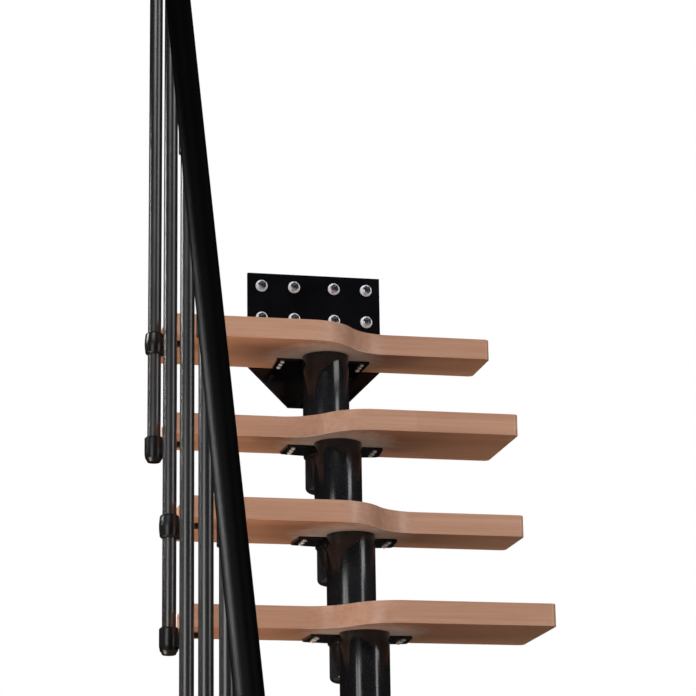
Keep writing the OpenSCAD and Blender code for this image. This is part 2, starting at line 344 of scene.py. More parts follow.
class Wiring:
    """A material's nodes while they are being laid and joined."""

    def __init__(self, name: str) -> None:
        """Starts a material with a shader, an output and object coordinates.

        Args:
            name: The material's name.
        """
        self.material = bpy.data.materials.new(name)
        self.material.use_nodes = True
        self.tree = self.material.node_tree
        self.tree.nodes.clear()
        self.shader = self.tree.nodes.new("ShaderNodeBsdfPrincipled")
        output = self.tree.nodes.new("ShaderNodeOutputMaterial")
        self.tree.links.new(self.shader.outputs["BSDF"], output.inputs["Surface"])
        self.coords = self.tree.nodes.new("ShaderNodeTexCoord").outputs["Object"]

    def plug(self, socket: Socket, value: object) -> None:
        """Links a socket into another one, or sets its constant.

        Args:
            socket: The input.
            value: The output that goes in, or the constant.
        """
        if isinstance(value, Socket):
            self.tree.links.new(value, socket)
        else:
            socket.default_value = value

    def set(self, **inputs: object) -> None:
        """Sets or links the shader's sockets, named with underscores for spaces."""
        for key, value in inputs.items():
            self.plug(self.shader.inputs[key.replace("_", " ")], value)

    def scaled(self, vector: Socket, scale: Triple) -> Socket:
        """Scales a vector.

        Args:
            vector: The coordinates.
            scale: Factors along X, Y and Z.

        Returns:
            The new coordinates.
        """
        node = self.tree.nodes.new("ShaderNodeMapping")
        node.inputs["Scale"].default_value = scale
        self.plug(node.inputs["Vector"], vector)
        return node.outputs["Vector"]

    def noise(self, vector: Socket, scale: float, detail: float = 3.0,
              roughness: float = 0.5, distortion: float = 0.0) -> Socket:
        """Lays a noise texture.

        Args:
            vector: The coordinates that it reads.
            scale: Its scale, in repeats a metre.
            detail: How many finer layers it has.
            roughness: How strong the finer layers are.
            distortion: How much it is warped.

        Returns:
            Its factor.
        """
        node = self.tree.nodes.new("ShaderNodeTexNoise")
        for key, value in (("Scale", scale), ("Detail", detail), ("Roughness", roughness),
                           ("Distortion", distortion), ("Vector", vector)):
            self.plug(node.inputs[key], value)
        return node.outputs["Fac"]

    def span(self, value: Socket, low: float, high: float,
             to_low: float = 0.0, to_high: float = 1.0) -> Socket:
        """Maps a value from one range to another and clamps it.

        Args:
            value: The value.
            low: Where the first range starts.
            high: Where it ends.
            to_low: Where the second range starts.
            to_high: Where it ends.

        Returns:
            The mapped value.
        """
        node = self.tree.nodes.new("ShaderNodeMapRange")
        node.clamp = True
        for i, item in enumerate((value, low, high, to_low, to_high)):
            self.plug(node.inputs[i], item)
        return node.outputs[0]

    def sum(self, kind: str, first: object, second: object = 0.0) -> Socket:
        """Does one step of arithmetic.

        Args:
            kind: Blender's name for the operation.
            first: A socket or a number.
            second: Another, if the operation needs one.

        Returns:
            The result.
        """
        node = self.tree.nodes.new("ShaderNodeMath")
        node.operation = kind
        self.plug(node.inputs[0], first)
        self.plug(node.inputs[1], second)
        return node.outputs[0]

    def weigh(self, first: Socket, second: Socket, share: float) -> Socket:
        """Averages two values, with the first one's weight given."""
        return self.sum("ADD", self.sum("MULTIPLY", first, share),
                        self.sum("MULTIPLY", second, 1.0 - share))

    def blend(self, share: object, first: object, second: object, how: str = "MIX") -> Socket:
        """Mixes two colours.

        Args:
            share: How much of the second is taken.
            first: A colour of four numbers or a socket.
            second: Another.
            how: Blender's name for the way of mixing.

        Returns:
            The mixed colour.
        """
        node = self.tree.nodes.new("ShaderNodeMix")
        node.data_type = "RGBA"
        node.blend_type = how
        self.plug(node.inputs[0], share)
        self.plug(node.inputs[6], first)
        self.plug(node.inputs[7], second)
        return node.outputs[2]

    def bump(self, height: Socket, depth: float, strength: float) -> Socket:
        """Turns a height into a bumped normal.

        Args:
            height: The height, from 0 to 1.
            depth: How deep that is, in metres.
            strength: How much of the bump shows.

        Returns:
            The normal.
        """
        node = self.tree.nodes.new("ShaderNodeBump")
        node.inputs["Strength"].default_value = strength
        node.inputs["Distance"].default_value = depth
        self.plug(node.inputs["Height"], height)
        return node.outputs["Normal"]


def opaque(colour: Colour) -> tuple[float, float, float, float]:
    """A colour with full opacity."""
    return (*colour, 1.0)


@dataclass(frozen=True)
class BeechLacquer:
    """Clear gloss lacquer on beech glued up from finger-jointed staves, grain along X."""

    tread_rise: float
    tread_going: float
    tread_t: float
    early: Colour = (0.575, 0.345, 0.245)
    late: Colour = (0.47, 0.258, 0.170)
    fleck: Colour = (0.30, 0.145, 0.09)
    # Pale colour painted round each tube's seat on the underside: a painted sheen that stands in
    # for reflected light
    painted_sheen: Colour = (0.92, 0.83, 0.78)
    stave_length: float = 0.43
    stave_width: float = 0.043
    stave_offset: float = 0.37
    stave_tone: float = 0.16
    count_shift: float = 0.4
    board_shift: tuple[float, float] = (0.287, 0.0171)
    broad_scale: Triple = (1.6, 24.0, 24.0)
    ring_scale: Triple = (2.2, 130.0, 130.0)
    fine_scale: Triple = (14.0, 900.0, 900.0)
    fleck_scale: Triple = (210.0, 1500.0, 1500.0)
    ring_share: float = 0.62
    fine_share: float = 0.16
    fleck_share: float = 0.45
    grain_depth: float = 0.00012
    grain_relief: float = 0.35
    # Size, strength and ragged edge of the painted sheen round each tube's seat
    painted_sheen_inner: float = 0.060
    painted_sheen_outer: float = 0.120
    painted_sheen_share: float = 0.9
    painted_sheen_ragged: float = 0.012
    painted_sheen_ragged_scale: float = 55.0
    underside_slack: float = 0.0012
    roughness: float = 0.30
    roughness_rise: float = 0.08
    specular: float = 0.2
    coat: float = 0.15
    coat_roughness: float = 0.22

    def material(self) -> Material:
        """Lays staves, year rings, fine grain and ray flecks under a gloss coat."""
        w = Wiring("beech_lacquer")
        place = w.tree.nodes.new("ShaderNodeSeparateXYZ")
        w.plug(place.inputs[0], w.coords)
        tread = w.sum("FLOOR", w.sum("ADD", w.sum("DIVIDE", place.outputs[2], self.tread_rise),
                                     self.count_shift))
        own = self.own_place(w, place, tread)
        tone = w.span(self.staves(w, own), 0.0, 1.0, -self.stave_tone, self.stave_tone)
        broad = w.noise(w.scaled(own, self.broad_scale), 1.0, 2.0, 0.5, 0.6)
        rings = w.noise(w.scaled(own, self.ring_scale), 1.0, 4.0, 0.62, 0.25)
        fine = w.noise(w.scaled(own, self.fine_scale), 1.0, 3.0, 0.6)
        rays = w.noise(w.scaled(own, self.fleck_scale), 1.0, 1.0)
        ring_share = w.span(w.weigh(rings, broad, self.ring_share), 0.36, 0.66)
        share = w.span(w.sum("ADD", ring_share, tone), 0.0, 1.0)
        wood = w.blend(share, opaque(self.late), opaque(self.early))
        wood = w.blend(w.span(fine, 0.35, 0.7, self.fine_share, 0.0), wood, opaque(self.late),
                       "MULTIPLY")
        wood = w.blend(w.span(rays, 0.66, 0.76, 0.0, self.fleck_share), wood, opaque(self.fleck))
        # Painted sheen: a pale patch of painted light round each tube's seat on the underside
        wood = w.blend(self.seat_painted_sheen(w, place, tread), wood, opaque(self.painted_sheen))
        rough = self.roughness + self.roughness_rise
        w.set(Base_Color=wood, Roughness=w.span(rings, 0.3, 0.7, self.roughness, rough),
              Normal=w.bump(w.weigh(fine, rings, 0.5), self.grain_depth, self.grain_relief),
              Coat_Weight=self.coat, Coat_Roughness=self.coat_roughness, Coat_IOR=1.5,
              Specular_IOR_Level=self.specular)
        return w.material

    def own_place(self, w: Wiring, place: Node, tread: Socket) -> Socket:
        """Shifts the coordinates from tread to tread, so that no two show the same boards.

        Args:
            w: The material's nodes.
            place: The node that splits the object coordinates.
            tread: The tread's number.

        Returns:
            The shifted coordinates.
        """
        joined = w.tree.nodes.new("ShaderNodeCombineXYZ")
        for axis, shift in enumerate(self.board_shift):
            w.plug(joined.inputs[axis],
                   w.sum("ADD", place.outputs[axis], w.sum("MULTIPLY", tread, shift)))
        w.plug(joined.inputs[2], place.outputs[2])
        return joined.outputs[0]

    def staves(self, w: Wiring, own: Socket) -> Socket:
        """Lays the staves, each with a tone of its own.

        Args:
            w: The material's nodes.
            own: The tread's own coordinates.

        Returns:
            The tone, from 0 to 1.
        """
        node = w.tree.nodes.new("ShaderNodeTexBrick")
        node.offset, node.offset_frequency = self.stave_offset, 2
        for key, value in (("Vector", own), ("Scale", 1.0), ("Mortar Size", 0.0), ("Bias", 0.0),
                           ("Brick Width", self.stave_length), ("Row Height", self.stave_width),
                           ("Color1", opaque(BLACK)), ("Color2", opaque(WHITE))):
            w.plug(node.inputs[key], value)
        return node.outputs["Color"]

    def seat_painted_sheen(self, w: Wiring, place: Node, tread: Socket) -> Socket:
        """Share of a painted pale sheen on the underside round the seat of each tread's tube:
        painted light that stands in for a reflection.

        Args:
            w: The material's nodes.
            place: The node that splits the object coordinates.
            tread: The tread's number.

        Returns:
            The share.
        """
        across = place.outputs[0]
        along = w.sum("SUBTRACT", place.outputs[1],
                      w.sum("MULTIPLY", w.sum("SUBTRACT", tread, 1.0), self.tread_going))
        away = w.sum("SQRT", w.sum("ADD", w.sum("MULTIPLY", along, along),
                                   w.sum("MULTIPLY", across, across)))
        ragged = w.sum("ADD", away, w.span(w.noise(w.coords, self.painted_sheen_ragged_scale, 3.0), 0.3, 0.7,
                                           -self.painted_sheen_ragged, self.painted_sheen_ragged))
        down = w.sum("SUBTRACT", w.sum("MULTIPLY", tread, self.tread_rise), place.outputs[2])
        under = w.span(down, self.tread_t - self.underside_slack,
                       self.tread_t - self.underside_slack / 2)
        return w.sum("MULTIPLY", w.span(ragged, self.painted_sheen_inner, self.painted_sheen_outer, self.painted_sheen_share,
                                        0.0), under)


@dataclass(frozen=True)
class PaintCoat:
    """Stoved paint on steel or grained plastic: a dark skin with a fine speckle."""

    name: str
    colour: Colour
    speck: Colour
    roughness: float
    grain: float = 1500.0
    grain_depth: float = 0.00005
    grain_relief: float = 0.6
    grain_share: float = 0.6
    peel: float = 240.0
    dust: float = 7.0
    speck_share: float = 0.7
    dust_share: float = 0.25
    roughness_swing: tuple[float, float] = (-0.03, 0.05)
    specular: float = 0.5

    def material(self) -> Material:
        """Lays orange peel, fine grain, specks and a little dust in the skin."""
        w = Wiring(self.name)
        grain = w.noise(w.coords, self.grain, 2.0, 0.6)
        peel = w.noise(w.coords, self.peel, 2.0, 0.5)
        dust = w.noise(w.coords, self.dust, 3.0, 0.55)
        smooth, rough = (self.roughness + swing for swing in self.roughness_swing)
        skin = w.blend(w.span(grain, 0.56, 0.72, 0.0, self.speck_share), opaque(self.colour),
                       opaque(self.speck))
        skin = w.blend(w.span(dust, 0.4, 0.8, 0.0, self.dust_share), skin, opaque(self.speck))
        height = w.weigh(grain, peel, self.grain_share)
        w.set(Base_Color=skin,
              Roughness=w.span(w.weigh(grain, dust, 0.5), 0.35, 0.65, smooth, rough),
              Normal=w.bump(height, self.grain_depth, self.grain_relief),
              Specular_IOR_Level=self.specular)
        return w.material


@dataclass(frozen=True)
class ZincPlate:
    """Zinc plating on screws, bolts and washers."""

    name: str = "bright_zinc"
    bright: Colour = (0.96, 0.97, 1.0)
    dull: Colour = (0.80, 0.83, 0.88)
    metallic: float = 0.0
    roughness: float = 0.24
    roughness_swing: float = 0.05
    spangle: float = 420.0
    lines: Triple = (2600.0, 300.0, 2600.0)
    line_depth: float = 0.00002
    line_relief: float = 0.5

    def material(self) -> Material:
        """Lays spangle, handling marks and fine turning lines in the plating."""
        w = Wiring(self.name)
        spangle = w.noise(w.coords, self.spangle, 3.0, 0.6)
        marks = w.noise(w.scaled(w.coords, self.lines), 1.0, 2.0)
        rough, smooth = self.roughness + self.roughness_swing, self.roughness - self.roughness_swing
        shade = w.blend(w.span(spangle, 0.35, 0.7), opaque(self.dull), opaque(self.bright))
        w.set(Base_Color=shade, Metallic=self.metallic,
              Roughness=w.span(spangle, 0.3, 0.7, rough, smooth),
              Normal=w.bump(marks, self.line_depth, self.line_relief))
        return w.material


@dataclass(frozen=True)
class StudioFloor:
    """Pale matt floor of the studio."""

    pale: Colour = (0.78, 0.715, 0.62)
    dusty: Colour = (0.74, 0.675, 0.585)
    cloud: float = 1.3
    ripple: float = 60.0
    ripple_depth: float = 0.0004
    ripple_relief: float = 0.3
    roughness: float = 0.6

    def material(self) -> Material:
        """Lays faint trowel marks in a pale skin."""
        w = Wiring("studio_floor")
        cloud = w.noise(w.coords, self.cloud, 4.0, 0.6)
        ripple = w.noise(w.coords, self.ripple, 3.0)
        w.set(Base_Color=w.blend(cloud, opaque(self.pale), opaque(self.dusty)),
              Roughness=self.roughness,
              Normal=w.bump(ripple, self.ripple_depth, self.ripple_relief))
        return w.material


# ---- The studio


@dataclass(frozen=True)
class Softbox:
    """An area light and the point that it faces."""

    name: str
    at: Triple
    to: Triple
    width: float
    height: float
    watts: float
    tint: Colour = WHITE
    spread: float = 180.0

    def hang(self) -> None:
        """Makes the light."""
        clear_selection()
        bpy.ops.object.light_add(type="AREA", location=self.at)
        light = named(newest(), self.name)
        light.data.shape = "RECTANGLE"
        light.data.size, light.data.size_y = self.width, self.height
        light.data.energy, light.data.color = self.watts, self.tint
        light.data.spread = math.radians(self.spread)
        light.rotation_mode = "QUATERNION"
        light.rotation_quaternion = (Vector(self.to) - Vector(self.at)).to_track_quat("-Z", "Y")


@dataclass(frozen=True)
class Strip:
    """An upright light on a circle round the flight, which draws a streak down the tubes."""

    name: str
    turn: float
    low: float
    high: float
    width: float
    radiance: float
    centre_y: float = 1.0
    distance: float = 4.0

    def softbox(self) -> Softbox:
        """Works out the light's place and power.

        Returns:
            The light.
        """
        angle, height = math.radians(self.turn), self.high - self.low
        level = (self.low + self.high) / 2
        at = (-self.distance * math.sin(angle),
              self.centre_y - self.distance * math.cos(angle), level)
        watts = self.radiance * math.pi * self.width * height
        return Softbox(self.name, at, (0.0, self.centre_y, level), self.width, height, watts)


@dataclass
class Studio:
    """Floor, white surroundings and softboxes."""

    floor_half: float = 3.2
    floor_y: float = 0.6
    dim: float = 0.015
    bright: float = 0.15
    dim_below: float = 0.30
    bright_above: float = 0.80
    middle: Triple = (0.0, 0.7, 1.9)

    def lay_floor(self) -> None:
        """Makes the floor, a wide slab whose top is at height 0."""
        clear_selection()
        bpy.ops.mesh.primitive_plane_add(size=2 * self.floor_half,
                                         location=(0.0, self.floor_y, 0.0))
        floor = named(newest(), "studio_floor")
        with editing(floor):
            bpy.ops.mesh.subdivide(number_cuts=6)
        floor.data.materials.append(StudioFloor().material())
        settle(floor)

    def surround(self) -> None:
        """Gives the world a white look and a soft light that is brighter from above."""
        world = bpy.data.worlds.new("studio")
        bpy.context.scene.world = world
        world.use_nodes = True
        tree = world.node_tree
        tree.nodes.clear()
        out, mix, path, lit, seen, coords, split, ramp = (
            tree.nodes.new(f"ShaderNode{kind}")
            for kind in ("OutputWorld", "MixShader", "LightPath", "Background", "Background",
                         "TexCoord", "SeparateXYZ", "MapRange"))
        seen.inputs["Color"].default_value = opaque(WHITE)
        ramp.interpolation_type = "SMOOTHSTEP"
        for i, value in enumerate((self.dim_below, self.bright_above, self.dim, self.bright), 1):
            ramp.inputs[i].default_value = value
        for output, socket in ((coords.outputs["Generated"], split.inputs[0]),
                               (split.outputs[2], ramp.inputs[0]),
                               (ramp.outputs[0], lit.inputs["Strength"]),
                               (path.outputs["Is Camera Ray"], mix.inputs[0]),
                               (lit.outputs[0], mix.inputs[1]), (seen.outputs[0], mix.inputs[2]),
                               (mix.outputs[0], out.inputs["Surface"])):
            tree.links.new(output, socket)

    def lights(self) -> list[Softbox]:
        """Lists the key light, a fill, low warm lights and the strips that streak the tubes.

        Returns:
            The lights.
        """
        strips = (Strip("strip_left_low", 38.0, 1.6, 2.70, 1.7, 5.4),
                  Strip("strip_left_high", 35.0, 2.72, 3.10, 0.35, 0.36),
                  Strip("strip_right_low", -41.0, 1.6, 2.70, 0.6, 5.4),
                  Strip("strip_right_high", -46.0, 2.72, 3.30, 1.1, 6.12))
        return [Softbox("key", (-2.2, -4.2, 6.4), self.middle, 3.2, 2.0, 243.0),
                Softbox("fill", (3.6, -2.6, 5.2), self.middle, 2.6, 2.2, 72.9),
                Softbox("warm_low", (-2.2, 0.5, 0.4), (0.0, 1.25, 2.8), 1.2, 1.2, 10.6,
                        (1.0, 0.74, 0.52), 68.0),
                Softbox("warm_right", (2.2, 0.6, 0.5), (0.2, 1.35, 3.1), 1.0, 1.0, 1.5,
                        (1.0, 0.76, 0.54), 36.0),
                Softbox("rail_sheen", (-3.0, 1.15, 3.45), (-0.34, 0.15, 1.65), 1.6, 0.45, 9.0,
                        spread=30.0),
                *(strip.softbox() for strip in strips)]

    def build(self) -> None:
        """Sets the whole studio up."""
        bpy.context.scene.view_settings.view_transform = "Standard"
        self.lay_floor()
        self.surround()
        for light in self.lights():
            light.hang()


@dataclass
class PhotoCamera:
    """The camera below, left and in front of the flight's upper end."""

    place: Triple = (-1.00167, -3.62948, 0.97782)
    yaw: float = 0.2177
    pitch: float = 0.268
    roll: float = -0.0145
    lens: float = 134.87
    sensor: float = 36.0
    near: float = 0.1
    far: float = 60.0

    def build(self) -> None:
        """Makes the scene's camera."""
        clear_selection()
        bpy.ops.object.camera_add(location=(0.0, 0.0, 0.0))
        camera = named(newest(), "photo_camera")
        camera.data.sensor_width, camera.data.lens = self.sensor, self.lens
        camera.data.clip_start, camera.data.clip_end = self.near, self.far
        camera.matrix_world = (Matrix.Translation(self.place)
                               @ Matrix.Rotation(-self.yaw, 4, "Z")
                               @ Matrix.Rotation(math.pi / 2 + self.pitch, 4, "X")
                               @ Matrix.Rotation(self.roll, 4, "Z"))
        bpy.context.scene.camera = camera


# ---- The flight


@dataclass
class Flight:
    """Sizes that the whole stair shares, in metres."""

    treads: int = 12
    rise: float = 0.194
    going: float = 0.100
    tread_t: float = 0.040
    plate_t: float = 0.005
    flange_t: float = 0.008
    seat_gap: float = 0.0003

    def tube_y(self, i: int) -> float:
        """Place of a tread's support tube along the flight."""
        return (i - 1) * self.going

    def under_z(self, i: int) -> float:
        """Height of a tread's underside."""
        return i * self.rise - self.tread_t


@dataclass
class Fixings:
    """Patterns of the screws and bolts, modelled head up on the origin.

    A crown is a run of steps, each an inset and a rise of the faces inside it.
    """

    screw_head_d: float = 0.0084
    screw_rim_h: float = 0.00135
    screw_crown: Steps = ((0.0008, 0.00099), (0.0014, 0.00066), (0.0008, 0.0), (0.0003, -0.0011))
    screw_shank_d: float = 0.0050
    screw_shank_h: float = 0.004
    washer_d: float = 0.0240
    washer_t: float = 0.0022
    washer_round: float = 0.00176
    bolt_flats: float = 0.0150
    bolt_head_h: float = 0.0070
    bolt_crown: Steps = ((0.0026, 0.0018), (0.0012, 0.0), (0.0008, -0.0007))
    bolt_corner: float = 0.0004

    def crown(self, piece: Piece, steps: Steps) -> None:
        """Shapes the top of a piece that is open in edit mode, step by step.

        Args:
            piece: The piece.
            steps: The crown's steps.
        """
        pick(piece, Pick.FACES, lambda c, n: n.z > FACING)
        for inset, rise in steps:
            bpy.ops.mesh.inset(thickness=inset, depth=rise)

    def wood_screw(self) -> Piece:
        """Pan head with a round drive recess, and a short shank below it.

        Returns:
            The pattern screw.
        """
        clear_selection()
        bpy.ops.mesh.primitive_cylinder_add(vertices=20, radius=self.screw_head_d / 2,
                                            depth=self.screw_rim_h,
                                            location=(0.0, 0.0, self.screw_rim_h / 2))
        screw = newest()
        settle(screw)
        with editing(screw):
            self.crown(screw, self.screw_crown)
            pick(screw, Pick.FACES, lambda c, n: n.z < -FACING)
            bpy.ops.mesh.inset(thickness=(self.screw_head_d - self.screw_shank_d) / 2, depth=0.0)
            bpy.ops.mesh.extrude_region_move(
                TRANSFORM_OT_translate={"value": (0.0, 0.0, -self.screw_shank_h)})
        soften(screw, 40.0)
        return screw

    def washer(self) -> Piece:
        """Round washer with a domed rim.

        Returns:
            The pattern washer.
        """
        clear_selection()
        bpy.ops.mesh.primitive_cylinder_add(vertices=40, radius=self.washer_d / 2,
                                            depth=self.washer_t,
                                            location=(0.0, 0.0, self.washer_t / 2))
        washer = newest()
        settle(washer)
        with editing(washer):
            pick(washer, Pick.EDGES, lambda a, b: min(a.z, b.z) > self.washer_t - NEAR)
            bpy.ops.mesh.bevel(offset=self.washer_round, segments=5)
        soften(washer, 50.0)
        return washer

    def hex_head(self) -> Piece:
        """Hexagon head with a wide chamfered crown and a shallow dished top.

        Returns:
            The pattern head, standing on the washer.
        """
        clear_selection()
        bpy.ops.mesh.primitive_cylinder_add(
            vertices=6, radius=self.bolt_flats / math.sqrt(3), depth=self.bolt_head_h,
            location=(0.0, 0.0, self.washer_t + self.bolt_head_h / 2))
        head = newest()
        settle(head)
        with editing(head):
            self.crown(head, self.bolt_crown)
            pick(head, Pick.EDGES, lambda a, b: abs(a.z - b.z) > self.bolt_head_h - NEAR)
            bpy.ops.mesh.bevel(offset=self.bolt_corner, segments=2)
        soften(head, 25.0)
        return head


@dataclass
class Treads:
    """Paddle treads, each a crisp-edged copy of its CAD node."""

    flight: Flight
    edge: float = 0.0009

    def build(self, finish: Material) -> None:
        """Makes every tread.

        Args:
            finish: The lacquered wood.
        """
        for i in range(1, self.flight.treads + 1):
            node = f"tread_{i:02d}"
            piece = copy_of_node(node, f"beech_tread_{i:02d}")
            ease(piece, self.edge, degrees=40.0, segments=3)
            put_in_place(piece, finish, [node])


def head_down(at: Vector, turn: float) -> Matrix:
    """Where a screw goes that is driven upwards, turned a little about its own axis."""
    return Matrix.Translation(at) @ Matrix.Rotation(math.pi, 4, "X") @ Matrix.Rotation(turn, 4, "Z")


@dataclass
class TreadScrews:
    """Six wood screws up through the wings under every tread."""

    flight: Flight
    fixings: Fixings
    wing_w: float = 0.182
    wing_set_back: float = 0.020
    wing_depth: float = 0.062
    inset: float = 0.013
    pitch: float = 0.020

    def build(self, finish: Material) -> None:
        """Makes one piece of screws for each tread.

        Args:
            finish: The plating.
        """
        pattern = self.fixings.wood_screw()
        middle = self.wing_set_back + self.wing_depth / 2
        for i in range(1, self.flight.treads + 1):
            level = self.flight.under_z(i) - self.flight.plate_t
            parts = []
            for side in (-1, 1):
                for n in (-1, 0, 1):
                    at = Vector((side * (self.wing_w / 2 - self.inset),
                                 self.flight.tube_y(i) + middle + n * self.pitch, level))
                    parts.append(twin(pattern, head_down(at, 0.7 * n + side + i), "screw"))
            put_in_place(join(parts, f"tread_screws_{i:02d}"), finish)
        scrap(pattern)


@dataclass
class Bolts:
    """Hexagon bolts with washers: eight on the wall plate and four on the floor flange."""

    flight: Flight
    fixings: Fixings
    face_y: float = 1.203
    spans: tuple[float, float] = (0.210, 0.080)
    levels: tuple[float, float] = (2.391, 2.456)
    across: float = 0.160
    along: float = 0.140

    def wall_places(self) -> list[Matrix]:
        """Lists the places of the wall plate's bolts, each turned a little differently.

        Returns:
            The places.
        """
        return [Matrix.Translation((side * span / 2, self.face_y, z))
                @ Matrix.Rotation(math.pi / 2, 4, "X")
                @ Matrix.Rotation(0.5 + 0.12 * side * span + 2.0 * z, 4, "Z")
                for span in self.spans for side in (-1, 1) for z in self.levels]

    def floor_places(self) -> list[Matrix]:
        """Lists the places of the floor flange's bolts, each turned a little differently.

        Returns:
            The places.
        """
        across, along, level = self.across / 2, self.along / 2, self.flight.flange_t
        return [Matrix.Translation((sx * across, sy * along, level))
                @ Matrix.Rotation(0.5 * sx + 0.9 * sy, 4, "Z") for sx in (-1, 1) for sy in (-1, 1)]

    def build(self, bright: Material, blued: Material) -> None:
        """Makes washers and heads, wall and floor apart.

        Args:
            bright: The washers' plating.
            blued: The heads' darker plating.
        """
        washer, head = self.fixings.washer(), self.fixings.hex_head()
        for where, places in (("wall", self.wall_places()), ("floor", self.floor_places())):
            for pattern, name, finish in ((washer, "washers", bright), (head, "bolt_heads", blued)):
                parts = [twin(pattern, place, name) for place in places]
                put_in_place(join(parts, f"{where}_{name}"), finish)
        scrap(washer)
        scrap(head)


@dataclass
class Supports:
    """Tubes, spigots, tread plates and weld beads, smooth where the CAD's rounds are faceted."""

    flight: Flight
    tube_r: float = 0.04445
    wall: float = 0.003
    tube_bore: float = 0.12
    tube_cap_r: float = 0.002
    spigot_r: float = 0.04105
    spigot_drop: float = 0.072
    spigot_round: float = 0.009
    spigot_tip_r: float = 0.004
    spigot_top: float = 0.02
    lip: float = 0.0005
    bead_r: float = 0.0018
    bead_gap: float = 0.0004
    bead_back: float = 0.021
    ripples: int = 48
    ripple_depth: float = 0.00025
    cad_seat_r: float = 0.04845
    seat_r: float = 0.0440
    seat_back: float = 0.012
    wing_corner: float = 0.070
    wing_taper: float = 0.0045
    edge: float = 0.0006
    slack: float = 0.0002

    def tube(self, length: float) -> Piece:
        """Tube with eased rims, hanging from height 0.

        Args:
            length: Its length.

        Returns:
            The tube.
        """
        r, lip, bore = self.tube_r, self.lip, self.tube_r - self.wall
        low = rounded((r - lip, -length + lip), lip, -90.0, 3)
        high = rounded((r - lip, -lip), lip, 0.0, 3)
        piece = turned([(bore, -length + self.tube_bore), (bore, -length), *low, *high,
                        (self.tube_cap_r, 0.0)], 96)
        soften(piece, 30.0)
        return piece

    def spigot(self) -> Piece:
        """Spigot with a rounded, closed lower end.

        Returns:
            The spigot.
        """
        r, low, turn, top = self.spigot_r, -self.spigot_drop, self.spigot_round, self.spigot_top
        foot = rounded((r - turn, low + turn), turn, -90.0, 8)
        piece = turned([(self.spigot_tip_r, low), *foot, (r, top), (r - self.wall, top)], 96)
        soften(piece, 30.0)
        return piece

    def bead(self, radius: float, back_only: bool) -> Piece:
        """Weld bead round a tube, rippled as it was laid.

        Args:
            radius: The tube's radius.
            back_only: Whether the front part, where there is no plate, is left out.

        Returns:
            The bead.
        """
        clear_selection()
        bpy.ops.mesh.primitive_torus_add(
            major_radius=radius + self.bead_gap, minor_radius=self.bead_r, major_segments=96,
            minor_segments=8, location=(0.0, 0.0, 0.0))
        ring = newest()
        step = 2 * math.pi / self.ripples
        with editing(ring):
            pick(ring, Pick.FACES, lambda c, n: (math.atan2(c.y, c.x) % step) < step / 2)
            bpy.ops.transform.shrink_fatten(value=-self.ripple_depth)
            if back_only:
                pick(ring, Pick.FACES, lambda c, n: c.y < self.bead_back)
                bpy.ops.mesh.delete(type="FACE")
        soften(ring, 70.0)
        return ring

    def plate(self, i: int) -> Piece:
        """Tread plate: a copy of the CAD node's plate, with its seat, wings and edges finished.

        Args:
            i: The tread's number.

        Returns:
            The plate at its place.
        """
        piece = copy_of_node(f"support_{i:02d}", "plate")
        flight = self.flight
        top, middle, behind = flight.under_z(i), flight.tube_y(i + 1), flight.tube_y(i)
        lowest, highest = top - flight.plate_t - self.slack, top - flight.seat_gap + self.slack
        share = self.seat_r / self.cad_seat_r
        with editing(piece):
            pick(piece, Pick.FACES, lambda c, n: not lowest < c.z < highest)
            bpy.ops.mesh.delete(type="FACE")
            pick(piece, Pick.EDGES, lambda a, b: min(a.y, b.y) > middle - self.seat_back
                 and min(math.hypot(p.x, p.y - middle) for p in (a, b)) > self.cad_seat_r - NEAR)
            bpy.ops.transform.resize(value=(share, share, 1.0), center_override=(0.0, middle, top))
            for side in (-1, 1):
                pick(piece, Pick.EDGES, lambda a, b: min(side * a.x, side * b.x) > self.wing_corner
                     and min(a.y, b.y) > behind + self.wing_corner)
                bpy.ops.transform.translate(value=(side * self.wing_taper, 0.0, 0.0))
        ease(piece, self.edge, degrees=50.0)
        return piece

    def build(self, lit_tube_coat: Material, shaded_plate_coat: Material) -> None:
        """Makes every support: its tube and spigot as one piece, its plate and beads as another.

        Args:
            lit_tube_coat: The tubes' copy of the powder coat, painted lighter as painted light.
            shaded_plate_coat: The plates' copy of the same coat, painted darker as painted shade.
        """
        flight = self.flight
        spigot, ring = self.spigot(), self.bead(self.spigot_r, back_only=False)
        horseshoe = self.bead(self.tube_r, back_only=True)
        tall = self.tube(flight.rise - flight.seat_gap)
        low = self.tube(flight.under_z(1) - flight.flange_t - 2 * flight.seat_gap)
        for i in range(1, flight.treads + 1):
            y, z = flight.tube_y(i), flight.under_z(i)
            under = z - flight.plate_t
            tube, back = low if i == 1 else tall, y + flight.going
            tubes = [twin(tube, Matrix.Translation((0.0, y, z - flight.seat_gap)), "tube")]
            plates = [self.plate(i), twin(horseshoe, Matrix.Translation((0.0, y, under)), "bead")]
            if i < flight.treads:
                tubes.append(twin(spigot, Matrix.Translation((0.0, back, z)), "spigot"))
                plates.append(twin(ring, Matrix.Translation((0.0, back, under)), "bead"))
            # The tubes take the lighter copy of the coat (painted light), the plates the darker one
            # (painted shade)
            put_in_place(join(tubes, f"support_tube_{i:02d}"), lit_tube_coat,
                         [f"support_{i:02d}"])
            put_in_place(join(plates, f"support_plate_{i:02d}"), shaded_plate_coat)
        for pattern in (spigot, ring, horseshoe, tall, low):
            scrap(pattern)


